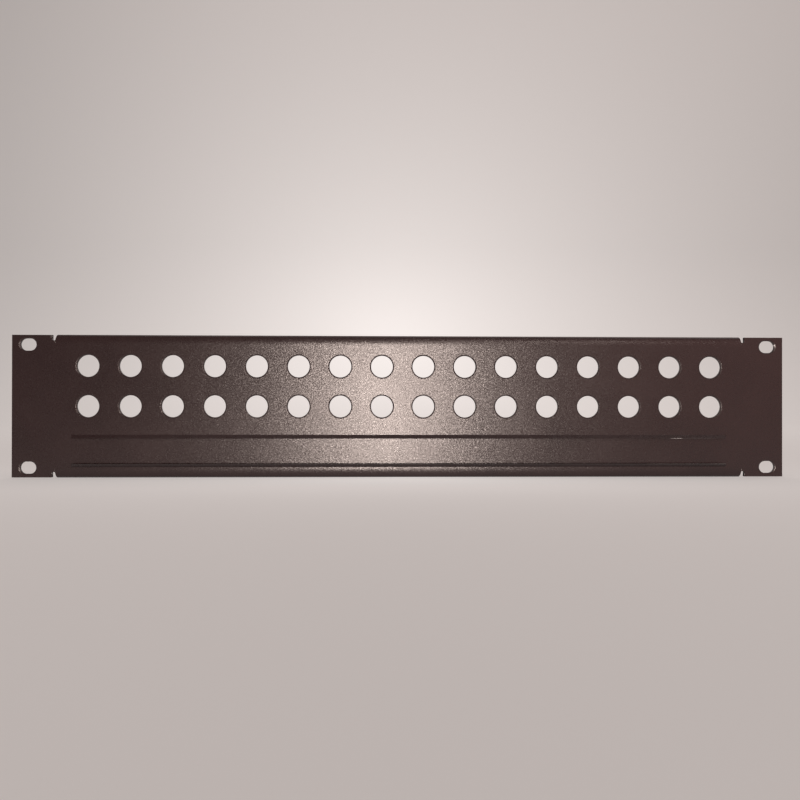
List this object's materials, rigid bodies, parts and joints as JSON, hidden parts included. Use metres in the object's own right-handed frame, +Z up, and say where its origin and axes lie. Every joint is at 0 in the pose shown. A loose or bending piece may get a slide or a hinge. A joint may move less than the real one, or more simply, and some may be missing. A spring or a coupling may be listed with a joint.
{
  "type": "bnc rack panel",
  "caption": "Rack-mount connector panel: one folded black steel sheet with rows of round connector holes, slotted ears and a label channel between formed lips.",
  "frame": {"origin": "middle of the four rack slots, on the rear face of the ears that meets the rack rails", "axes": "+X along the panel to the right seen from the front, +Y back into the rack, +Z up"},
  "size_m": [0.4826, 0.0176, 0.0888],
  "materials": {
    "powder_coat": "fine-textured satin black powder coat"
  },
  "bodies": {
    "root": {"rack_panel": "powder_coat"}
  },
  "joints": []
}
